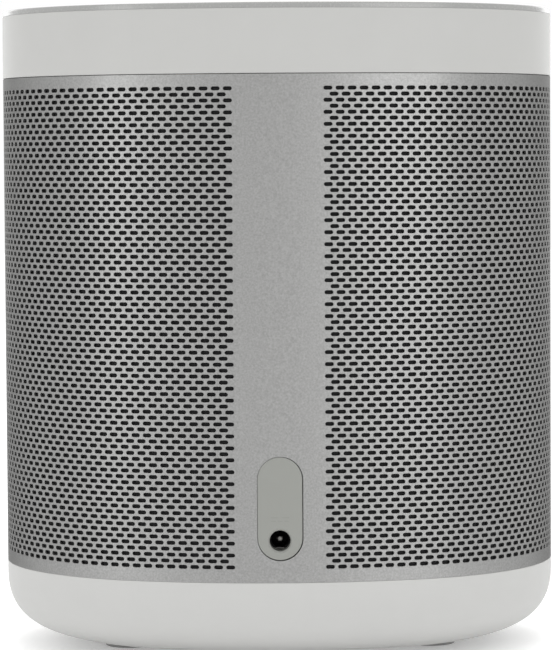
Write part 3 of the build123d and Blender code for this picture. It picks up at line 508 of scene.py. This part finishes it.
def cut_sleeve(name, inset, thick, low, high, middle_z, radius, frame_half, wrap):
    """Closed thin sleeve with a pill-shaped hole at the back: all the way round, or the back strip alone."""
    straight = (PLATE_HEIGHT - PLATE_WIDTH) / 2
    swing = np.tan(np.radians(np.linspace(-45, 45, FRAME_COLUMNS)))
    columns = np.concatenate([[-STRIP_HALF], frame_half * swing, [STRIP_HALF]])
    if wrap:
        around = np.linspace(STRIP_HALF, GIRTH - STRIP_HALF, WRAP_COLUMNS)
        columns = np.concatenate([columns, around[1:-1]])
    ends = frame_half * np.tan(np.radians(np.linspace(0, 45, FRAME_END_ROWS)))
    above = np.linspace(middle_z + straight + frame_half, high, ROWS_ABOVE)
    rows = np.concatenate([[low], middle_z - straight - ends[::-1], middle_z + straight + ends, above[1:]])
    grid_s, grid_z = (g.ravel() for g in np.meshgrid(columns, rows))
    grid = np.arange(len(grid_s)).reshape(len(rows), len(columns))
    low_row = 1
    high_row = len(rows) - ROWS_ABOVE
    following = np.roll(grid, -1, 1) if wrap else grid[:, 1:]
    here = grid if wrap else grid[:, :-1]
    quads = np.stack([here[:-1], following[:-1], following[1:], here[1:]], 2)
    keep = np.ones(quads.shape[:2], bool)
    keep[low_row:high_row, 1:FRAME_COLUMNS] = False
    loop = np.concatenate([grid[low_row, 1:FRAME_COLUMNS + 1], grid[low_row + 1:high_row + 1, FRAME_COLUMNS],
                           grid[high_row, 1:FRAME_COLUMNS][::-1], grid[low_row + 1:high_row, 1][::-1]])
    loop_s, loop_z = grid_s[loop], grid_z[loop] - middle_z
    centre = np.clip(loop_z, -straight, straight)
    length = np.hypot(loop_s, loop_z - centre)
    hole_s = loop_s / length * radius
    hole_z = middle_z + centre + (loop_z - centre) / length * radius
    s, z = np.concatenate([grid_s, hole_s]), np.concatenate([grid_z, hole_z])
    size = len(s)
    front, outward = on_oval(s, z, inset)
    back, _ = on_oval(s, z, inset + thick)
    hole = len(grid_s) + np.arange(len(loop))
    bridge = np.stack([loop, np.roll(loop, -1), np.roll(hole, -1), hole], 1)
    front_blocks = [quads[keep][:, ::-1], bridge[:, ::-1]]
    back_blocks = [quads[keep] + size, bridge + size]
    rim = rim_walls(front_blocks, size)
    points = np.concatenate([front, back])
    normals = [outward[block.ravel()] for block in front_blocks]
    normals += [-outward[block.ravel() - size] for block in back_blocks] + [flat_normals(points, rim)]
    points, blocks = without_spares(points, front_blocks + back_blocks + [rim])
    return new_object(name, points, blocks, np.concatenate(normals))


edges = np.linspace(0, LONG_ROW, SECTORS + 1).round().astype(int)
for number in range(SECTORS):
    grille_sector(f"grille_slots_{number + 1}", int(edges[number]), int(edges[number + 1]))
strip = cut_sleeve("grille_back_strip", 0.0, SHEET, GRILLE_LOW_Z, GRILLE_TOP_Z, PLATE_Z - PLATE_SHIFT,
                   PLATE_WIDTH / 2 + PLATE_GAP, STRIP_FRAME, wrap=False)
finish_piece(strip, "grille_metal", "grille")


# ---- cloth and foam ---------------------------------------------------------------------------------
cloth_low, cloth_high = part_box("acoustic_cloth")
cloth = cut_sleeve("acoustic_sleeve", CLOTH_INSET, CLOTH_THICK, cloth_low.z, cloth_high.z, PLATE_Z,
                   PLATE_WIDTH / 2 + CLOTH_HOLE_GAP, CLOTH_FRAME, wrap=True)
finish_piece(cloth, "cloth", "acoustic_cloth")


def foam_block(name, cad_name, slot_name, corner, edge):
    """Foam cut to a block: rounded upright corners, softened edges."""
    low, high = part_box(cad_name)
    shape = bmesh.new()
    bmesh.ops.create_cube(shape, size=1.0)
    for vertex in shape.verts:
        vertex.co = [(low[i] + high[i]) / 2 + vertex.co[i] * (high[i] - low[i]) for i in range(3)]
    upright = [e for e in shape.edges if abs(e.verts[0].co.z - e.verts[1].co.z) > edge]
    bmesh.ops.bevel(shape, geom=upright, offset=corner, segments=8, affect="EDGES", profile=0.5)
    level = [e for e in shape.edges if abs(e.verts[0].co.z - e.verts[1].co.z) < 1e-7]
    bmesh.ops.bevel(shape, geom=level, offset=edge, segments=3, affect="EDGES", profile=0.5)
    mesh = bpy.data.meshes.new(name)
    shape.to_mesh(mesh)
    shape.free()
    obj = bpy.data.objects.new(name, mesh)
    bpy.context.scene.collection.objects.link(obj)
    sharpen(obj, 30)
    finish_piece(obj, slot_name, cad_name)


foam_block("damping_block", "damping_foam", "foam", 5 * MM, 0.8 * MM)
foam_block("touch_cushion", "touch_foam", "foam", 4 * MM, 0.3 * MM)


# ---- printed marks ----------------------------------------------------------------------------------
def bar(x, y, width, height, turn=0.0, steps=8):
    """Outline of a round-ended bar, anticlockwise, in mm."""
    radius, half = height / 2, (width - height) / 2
    cos, sin = math.cos(math.radians(turn)), math.sin(math.radians(turn))
    outline = []
    for side, start in ((1, -90), (-1, 90)):
        outline += arc_points((side * half, 0), radius, start, start + 180, steps)
    return [(x + u * cos - v * sin, y + u * sin + v * cos) for u, v in outline]


def half_ring(x, y, radius, width, steps=16):
    """Outline of the lower half of a ring, anticlockwise, in mm."""
    outer = arc_points((x, y), radius + width / 2, 180, 360, steps)
    inner = arc_points((x, y), radius - width / 2, 360, 180, steps)
    return outer + inner


def mark(name, outlines, slot_name, print_name, place):
    """Thin raised marks; place turns flat points in mm into points on and just above a surface."""
    points, blocks, start = [], [], 0
    for outline in outlines:
        count = len(outline)
        flat = np.array(outline)
        points += [place(flat, 0.0), place(flat, MARK_HEIGHT)]
        ring = start + np.arange(count)
        following = np.roll(ring, -1)
        blocks += [ring[None, ::-1], ring[None] + count,
                   np.stack([ring, following, following + count, ring + count], 1)]
        start += 2 * count
    obj = new_object(name, np.concatenate(points), blocks)
    sharpen(obj)
    finish_piece(obj, slot_name)
    obj.data.materials[0] = PRINT_MATERIALS[print_name]


def on_panel(x, y):
    """Placing of marks on the touch panel, read by someone in front of the speaker."""
    def place(flat, lift):
        return np.stack([x * MM + flat[:, 0] * MM, y * MM + flat[:, 1] * MM,
                         np.full(len(flat), PANEL_TOP_Z + lift)], 1)
    return place


def on_plate(flat, lift):
    """Placing of marks on the socket plate's curved face."""
    points, _ = on_oval(PLATE_SHIFT - flat[:, 0] * MM, flat[:, 1] * MM, PLATE_INSET - lift)
    return points


mark("mark_minus", [bar(0, 0, 6, MARK_WIDTH)], "ring_plastic", "print_grey", on_panel(-24, 0))
mark("mark_plus", [bar(0, 0, 6, MARK_WIDTH), bar(0, 1.7, 2.6, MARK_WIDTH, 90),
                   bar(0, -1.7, 2.6, MARK_WIDTH, 90)], "ring_plastic", "print_grey", on_panel(24, 0))
mark("mark_play_pause", [[(-3.4, -2.5), (0.4, 0), (-3.4, 2.5)], bar(1.8, 0, 5, MARK_WIDTH, 90),
                         bar(3.4, 0, 5, MARK_WIDTH, 90)], "ring_plastic", "print_grey", on_panel(0, -20))
mark("mark_microphone", [bar(0, 1.1, 3.8, 1.9, 90), half_ring(0, 0.4, 1.9, 0.5), bar(0, -2.5, 1.3, 0.5, 90),
                         bar(0, -3.2, 2.4, 0.5)], "ring_plastic", "print_grey", on_panel(0, 20))
mark("mark_direct_current", [bar(0, 34.9, 4.1, 0.22), bar(-1.5, 34.1, 1.1, 0.22), bar(0, 34.1, 1.1, 0.22),
                             bar(1.5, 34.1, 1.1, 0.22)], "plate_plastic", "plate_print", on_plate)


# ---- floor and light --------------------------------------------------------------------------------
FLOOR_GLOW = 0.22
FLOOR_HALF = 3.0
MIDDLE = (0, 0, 0.075)
SIDE_DISTANCE = 1.1
SIDE_Z = 0.22
SIDE_HEIGHT = 0.7
TOP_PLACE = (0, 0, 1.4)
TOP_SIZE = (1.2, 1.2)
TOP_POWER = 6.5
# Side lights: azimuth in degrees from the back, width in metres, power in watts.
SIDE_LIGHTS = ((49, 0.42, 2.1), (-37, 0.6, 2.8), (150, 0.4, 1.4), (-150, 0.4, 1.4))


def stage_floor():
    """Plain pale floor under the feet, which gives off a little light of its own."""
    half = FLOOR_HALF
    corners = np.array([(-half, -half, 0), (half, -half, 0), (half, half, 0), (-half, half, 0)])
    floor = new_object("floor", corners, [np.array([[0, 1, 2, 3]])])
    surface = material("floor", (0.92, 0.92, 0.92), 0.8, grain=6.0, tint=0.01, bump=0.02)
    glow = surface.node_tree.nodes["Principled BSDF"].inputs
    glow["Emission Color"].default_value = (1, 1, 1, 1)
    glow["Emission Strength"].default_value = FLOOR_GLOW
    floor.data.materials.append(surface)


def soft_light(name, place, target, size, power, shine_only=False):
    """Rectangular studio light aimed at a point; a shine-only one gives no diffuse light."""
    lamp = bpy.data.lights.new(name, "AREA")
    lamp.shape = "RECTANGLE"
    lamp.size, lamp.size_y = size
    lamp.energy = power
    obj = bpy.data.objects.new(name, lamp)
    bpy.context.scene.collection.objects.link(obj)
    aim = np.array(place) - np.array(target)
    turn = math.atan2(aim[1], aim[0]) + math.pi / 2
    tilt = math.atan2(math.hypot(aim[0], aim[1]), aim[2])
    obj.rotation_euler = (tilt, 0, turn)
    obj.location = place
    obj.visible_diffuse = not shine_only


def round_studio(azimuth, distance, height):
    """Place on a circle round the object; azimuth 0 is behind it, on the side of the inlet."""
    angle = math.radians(azimuth)
    return (distance * math.sin(angle), distance * math.cos(angle), height)


stage_floor()
for azimuth, width, power in SIDE_LIGHTS:
    soft_light(f"soft_{azimuth}", round_studio(azimuth, SIDE_DISTANCE, SIDE_Z), MIDDLE, (width, SIDE_HEIGHT),
               power, shine_only=True)
soft_light("soft_top", TOP_PLACE, MIDDLE, TOP_SIZE, TOP_POWER)

world = bpy.data.worlds.new("studio")
world.use_nodes = True
world.node_tree.nodes["Background"].inputs["Color"].default_value = (1.0, 1.0, 1.0, 1)
world.node_tree.nodes["Background"].inputs["Strength"].default_value = 1.0
bpy.context.scene.world = world
bpy.context.scene.view_settings.view_transform = "Standard"
